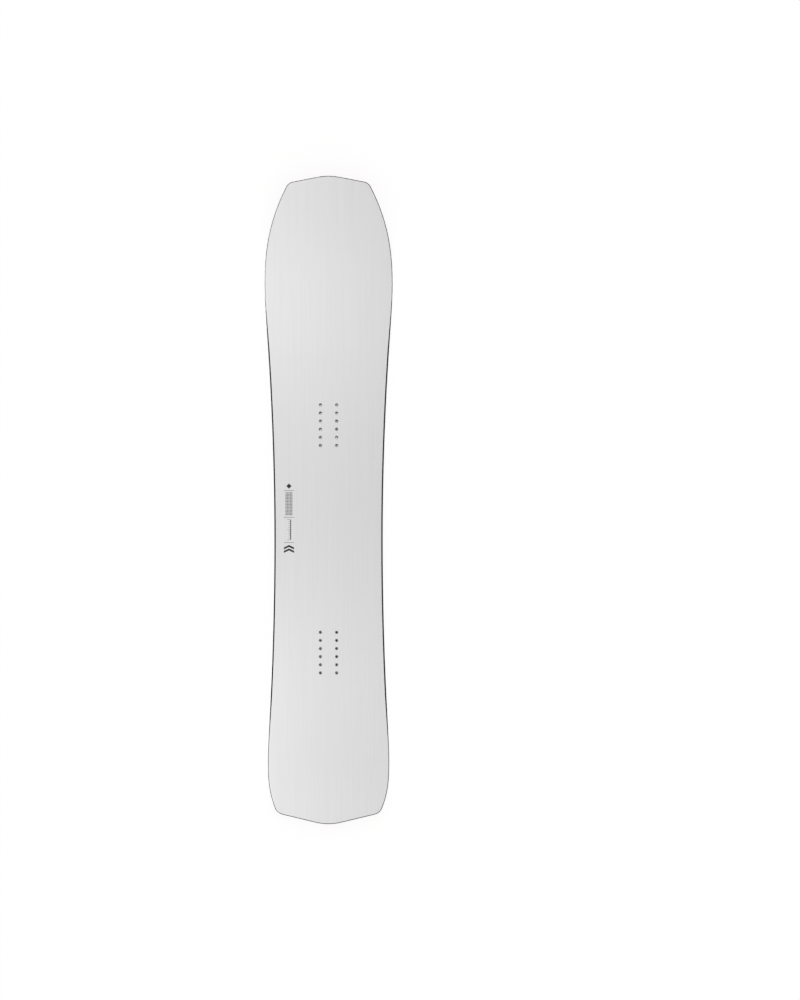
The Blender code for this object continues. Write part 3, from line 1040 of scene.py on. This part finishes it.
# %% One threaded insert, and its 24 places
thread_pitch = 0.001
thread_inner = 0.00255
thread_outer = 0.0030
thread_rows_per_turn = 6
insert_sides = 30
insert_top = 0.0073
insert_floor = 0.0012
drill_slope = 1 / 6  # fall of the drilled floor towards the axis
lead_in = 0.00065
flange_radius = 0.0075
flange_thickness = 0.0010
insert_ease = 0.00015


def insert_profile():
    """Rows of the insert as (radius, height, depth of thread), from the foot round to the drilled floor."""
    rows = [
        (0, 0, 0),
        (flange_radius - insert_ease, 0, 0),
        (flange_radius, insert_ease, 0),
        (flange_radius, flange_thickness - insert_ease, 0),
        (flange_radius - insert_ease, flange_thickness, 0),
        (barrel_radius + insert_ease, flange_thickness, 0),
        (barrel_radius, flange_thickness + insert_ease, 0),
        (barrel_radius, insert_top - insert_ease, 0),
        (barrel_radius - insert_ease, insert_top, 0),
        (thread_inner + lead_in, insert_top, 0),
    ]
    high = insert_top - lead_in
    low = insert_floor + thread_pitch / 2
    count = math.ceil((high - low) / thread_pitch * thread_rows_per_turn)
    for height in np.linspace(high, low, count + 1):
        fade = min(1.0, (high - height) / thread_pitch, (height - low) / thread_pitch)
        rows.append((thread_inner, height, fade * (thread_outer - thread_inner)))
    rows.append((thread_inner, insert_floor, 0))
    rows.append((0, insert_floor - thread_inner * drill_slope, 0))
    return rows


def threaded_insert():
    turns = np.arange(insert_sides) / insert_sides
    rings = []
    for radius, height, thread in insert_profile():
        cut = 1 - np.abs(2 * ((height / thread_pitch - turns) % 1) - 1)
        ring = []
        for turn, reach in zip(turns, radius + thread * cut):
            angle = 2 * math.pi * turn
            ring.append((reach * math.cos(angle), reach * math.sin(angle), height))
        rings.append(ring)
    return lofted(rings, capped=False)


insert_mesh = smooth_mesh("threaded_insert", threaded_insert())
for name, place, lean in insert_places():
    insert = add_piece(
        f"threaded_insert_{name}", insert_mesh, turned_steel, f"insert_{name}",
    )
    insert.matrix_world = Matrix.Translation(place) @ Matrix.Rotation(lean, 4, "X")
bpy.context.view_layer.update()
print_fit(bpy.data.objects["threaded_insert_nose_left_1"], "insert_nose_left_1")
print("points in one insert:", len(insert_mesh.vertices))

# %% [markdown]
# ## Generic marks
#
# A small block of print lies left of the middle. It is a plain pattern that says nothing: a diamond,
# a grid of dots, three rules, a scale without numbers and two chevrons. Ink could be painted in the
# topsheet's material with a mask, but as film pieces of their own the marks keep a crisp rim at any
# distance. Each film stands 0.05 mm proud and follows the bend of the topsheet.

# %% Ink finish
cover_scale = 700.0  # a screen lays ink unevenly over about 1.4 mm


def ink_finish(name, dark, light):
    material, tree, shader, place = new_material(name, 0.5)
    cover = add_node(
        tree, "ShaderNodeTexNoise", {"Scale": cover_scale, "Detail": 3.0}, {"Vector": place},
    ).outputs["Fac"]
    join_up(
        tree, shader, colour=(cover, [(0.3, dark), (0.7, light)]),
        gloss=(cover, 0.45, 0.62), relief=(cover, 0.2, 0.00002),
    )
    return material


black_ink = ink_finish("ink_screen_black", "#161616", "#222222")
grey_ink = ink_finish("ink_screen_grey", "#4E4E4E", "#5E5E5E")

# %% Films that follow the topsheet
film_thickness = 0.00005
film_sink = 0.00002  # how far its underside lies in the topsheet
film_step = 0.008


def face_height(y):
    return float(ride_height(y) + core_depth(y) + over_core["top_high"])


def sliced(left, right, low, high):
    """A rectangle as a ring of corners, with extra corners on its long sides so that it can bend."""
    heights = steps_between(low, high, film_step)
    return [(left, y) for y in heights] + [(right, y) for y in heights[::-1]]


def add_film(shape, ring):
    """One closed film over a ring of (x, y) corners."""
    top = [shape.verts.new((x, y, face_height(y) + film_thickness)) for x, y in ring]
    bottom = [shape.verts.new((x, y, face_height(y) - film_sink)) for x, y in ring]
    shape.faces.new(top)
    shape.faces.new(bottom[::-1])
    for k in range(len(ring)):
        shape.faces.new((top[k - 1], top[k], bottom[k], bottom[k - 1]))


def add_marks(name, rings, material):
    shape = bmesh.new()
    for ring in rings:
        add_film(shape, ring)
    bmesh.ops.triangulate(shape, faces=[face for face in shape.faces if len(face.verts) > 4])
    bmesh.ops.recalc_face_normals(shape, faces=shape.faces)
    add_piece(name, smooth_mesh(name, shape), material)
    print(f"{name}: {len(rings)} films")


# %% The marks, from nose to tail
marks_x = -0.0975

diamond_top = 0.041
diamond_half = 0.0065
diamond_y = diamond_top - diamond_half
diamond = [(0, 1), (1, 0), (0, -1), (-1, 0)]
add_marks(
    "mark_diamond",
    [[(marks_x + diamond_half * x, diamond_y + diamond_half * y) for x, y in diamond]],
    black_ink,
)

dot_pitch = 0.0036
dot_radius = 0.0014
dot_columns = 5
dot_rows = 16
dots_top = 0.018
dot_sides = 16
dots = []
for row in range(dot_rows):
    for column in range(dot_columns):
        x = marks_x + (column - (dot_columns - 1) / 2) * dot_pitch
        y = dots_top - row * dot_pitch
        turns = np.linspace(0, 2 * math.pi, dot_sides, endpoint=False)
        dots.append([(x + dot_radius * math.cos(t), y + dot_radius * math.sin(t)) for t in turns])
add_marks("mark_dots", dots, grey_ink)

rule_half = 0.0125
rule_height = 0.0010
rule_places = (0.0235, -0.0425, -0.1045)
rules = []
for y in rule_places:
    rules.append(sliced(marks_x - rule_half, marks_x + rule_half, y - rule_height / 2, y + rule_height / 2))
add_marks("mark_rules", rules, grey_ink)

scale_top = -0.048
scale_step = 0.005
scale_count = 11
scale_bottom = scale_top - (scale_count - 1) * scale_step
tick_height = 0.0008
tick_space = 0.0008  # between the ticks and the spine
long_tick, short_tick = 0.0075, 0.004
long_every = 5
spine_width = 0.0022
spine_x = marks_x + 0.003
ticks = [sliced(spine_x, spine_x + spine_width, scale_bottom, scale_top)]
for tick in range(scale_count):
    reach = short_tick if tick % long_every else long_tick
    y = scale_top - tick * scale_step
    ticks.append(sliced(spine_x - reach, spine_x - tick_space, y - tick_height / 2, y + tick_height / 2))
add_marks("mark_scale", ticks, black_ink)

chevron_top = -0.1105
chevron_half = 0.0125
chevron_rise = 0.006
chevron_weight = 0.0050
chevron_pitch = 0.0085
chevron_count = 2
chevrons = []
for number in range(chevron_count):
    y = chevron_top - number * chevron_pitch
    foot = y - chevron_rise
    left, right = marks_x - chevron_half, marks_x + chevron_half
    chevrons.append([
        (left, foot), (marks_x, y), (right, foot),
        (right, foot - chevron_weight), (marks_x, y - chevron_weight), (left, foot - chevron_weight),
    ])
add_marks("mark_chevrons", chevrons, black_ink)

# %% [markdown]
# ## Floor and surroundings
#
# The board lies on plain paper that the camera sees as white. The white comes from what the camera, a
# reflection or a view through glass sees of the floor and of the sky, never from more light on the
# board. The paper itself is a light grey that only the sky lights, and it still takes the board's soft
# shadow. Under the lamps as well it would come out brighter than white, and wherever a pixel holds
# both paper and rim, that would wash out the thin dark line of the rim.

# %% White floor and white sky
floor_size = 30.0
floor_drop = 0.0001  # keeps paper and base out of the same plane
floor_glow = 0.872  # what direct sight adds to the grey of the paper, so that the two come to white
sky_light = 0.345


def seen_directly(tree):
    """1 for rays from the camera, a reflection or a view through glass, and else 0."""
    path = add_node(tree, "ShaderNodeLightPath")
    first = add_node(
        tree, "ShaderNodeMath", {"operation": "MAXIMUM"},
        {0: path.outputs["Is Camera Ray"], 1: path.outputs["Is Glossy Ray"]},
    )
    both = add_node(
        tree, "ShaderNodeMath", {"operation": "MAXIMUM"},
        {0: first.outputs[0], 1: path.outputs["Is Transmission Ray"]},
    )
    return both.outputs[0]


def floor_finish():
    material = bpy.data.materials.new("floor_plain_paper")
    material.use_nodes = True
    tree = material.node_tree
    tree.nodes.remove(tree.nodes["Principled BSDF"])
    matt = add_node(tree, "ShaderNodeBsdfDiffuse", {"Color": linear("#A6A6A6")})
    strength = add_node(
        tree, "ShaderNodeMath", {"operation": "MULTIPLY", 1: floor_glow}, {0: seen_directly(tree)},
    )
    glow = add_node(
        tree, "ShaderNodeEmission", {"Color": (1, 1, 1, 1)}, {"Strength": strength.outputs[0]},
    )
    both = add_node(
        tree, "ShaderNodeAddShader", links={0: matt.outputs[0], 1: glow.outputs[0]},
    )
    tree.links.new(both.outputs[0], tree.nodes["Material Output"].inputs["Surface"])
    return material


half_floor = floor_size / 2
floor_mesh = bpy.data.meshes.new("floor")
floor_corners = [(-1, -1), (1, -1), (1, 1), (-1, 1)]
floor_mesh.from_pydata([(x * half_floor, y * half_floor, 0) for x, y in floor_corners], [], [(0, 1, 2, 3)])
floor_mesh.materials.append(floor_finish())
floor = add_object("floor", floor_mesh)
floor.location.z = -floor_drop

world = bpy.data.worlds.new("white studio")
world.use_nodes = True
bpy.context.scene.world = world
sky = world.node_tree
sky_strength = add_node(
    sky, "ShaderNodeMapRange", {"To Min": sky_light, "To Max": 1.0}, {"Value": seen_directly(sky)},
)
background = sky.nodes["Background"]
background.inputs["Color"].default_value = (1, 1, 1, 1)
sky.links.new(sky_strength.outputs[0], background.inputs["Strength"])

# %% [markdown]
# ## Lamps and a black panel
#
# Four softboxes stand low beside the board, those on the left stronger, so that the grey falls off
# gently to the right and dips half way along. The steel at the bottom of an insert looks straight up,
# and under a white sky it would shine as brightly as the topsheet. Product photographers hang a black
# panel over shiny metal, and here one hangs high up that only reflections can see. A small lamp then
# reaches into the nose inserts at a steep angle, where it leaves a bright spot and a dark crescent.
# It stands too low for the tail inserts, which stay dark. Light linking keeps all five off the paper,
# as a photographer's flags would.

# %% Softboxes beside the board, a small lamp past the nose and the black panel
not_the_floor = bpy.data.collections.new("all but the floor")
not_the_floor.objects.link(floor)
not_the_floor.collection_objects[0].light_linking.link_state = "EXCLUDE"


def add_softbox(name, place, aim, size, watts):
    lamp = bpy.data.lights.new(name, "AREA")
    lamp.shape = "RECTANGLE"
    lamp.size, lamp.size_y = size
    lamp.energy = watts
    softbox = add_object(name, lamp)
    softbox.location = place
    softbox.rotation_euler = (Vector(aim) - Vector(place)).to_track_quat("-Z", "Y").to_euler()
    softbox.visible_camera = False
    softbox.light_linking.receiver_collection = not_the_floor


beside = 0.60
low_hang = 0.7
softbox_size = (0.5, 0.6)
small_lamp_place = (-0.12, 0.58, 1.1)
small_lamp_size = (0.25, 0.25)
small_lamp_watts = 2.8
for name, side, y, watts in (
    ("nose left", -1, 0.66, 3.5), ("nose right", 1, 0.66, 1.05),
    ("tail left", -1, -0.62, 5.35), ("tail right", 1, -0.62, 2.05),
):
    add_softbox(f"{name} softbox", (side * beside, y, low_hang), (0, y, 0), softbox_size, watts)
add_softbox("small lamp", small_lamp_place, (0, nose_pack, 0), small_lamp_size, small_lamp_watts)


def black_felt():
    material, _, shader, _ = new_material("panel_black_felt", 1.0)
    shader.inputs["Base Color"].default_value = (0, 0, 0, 1)
    shader.inputs["Specular IOR Level"].default_value = 0.0
    return material


panel_half = 2.2
panel_height = 2.4
panel_mesh = bpy.data.meshes.new("black panel")
panel_mesh.from_pydata(
    [(x * panel_half, y * panel_half, panel_height) for x, y in floor_corners], [], [(0, 1, 2, 3)]
)
panel_mesh.materials.append(black_felt())
panel = add_object("black panel", panel_mesh)
for kind in ("camera", "diffuse", "transmission", "shadow"):
    setattr(panel, f"visible_{kind}", False)

# %% [markdown]
# ## Camera
#
# The photograph looks straight down, with the nose up and the board left of the middle. A very long
# lens from far away keeps the outline flat, as a product photograph does. The image is 1000 pixels
# high, and one of its pixels is 2.463 mm of board.

# %% Camera straight above
pixel = 0.002463
image_width, image_height = 800, 1000
board_pixel = (328.55, 500.1)
lens = 400.0
sensor = 36.0
board_face = 0.012  # height of the topsheet, which is what the photograph's scale holds for

camera_data = bpy.data.cameras.new("camera")
camera_data.lens = lens
camera_data.sensor_width = sensor
camera_distance = image_height * pixel * lens / sensor
camera_data.clip_end = 3 * camera_distance
camera = add_object("camera", camera_data)
camera.location = (
    (image_width / 2 - board_pixel[0]) * pixel,
    (board_pixel[1] - image_height / 2) * pixel,
    board_face + camera_distance,
)
bpy.context.scene.camera = camera
bpy.context.scene.view_settings.view_transform = "Standard"
print("camera height in m:", round(camera.location.z, 2))
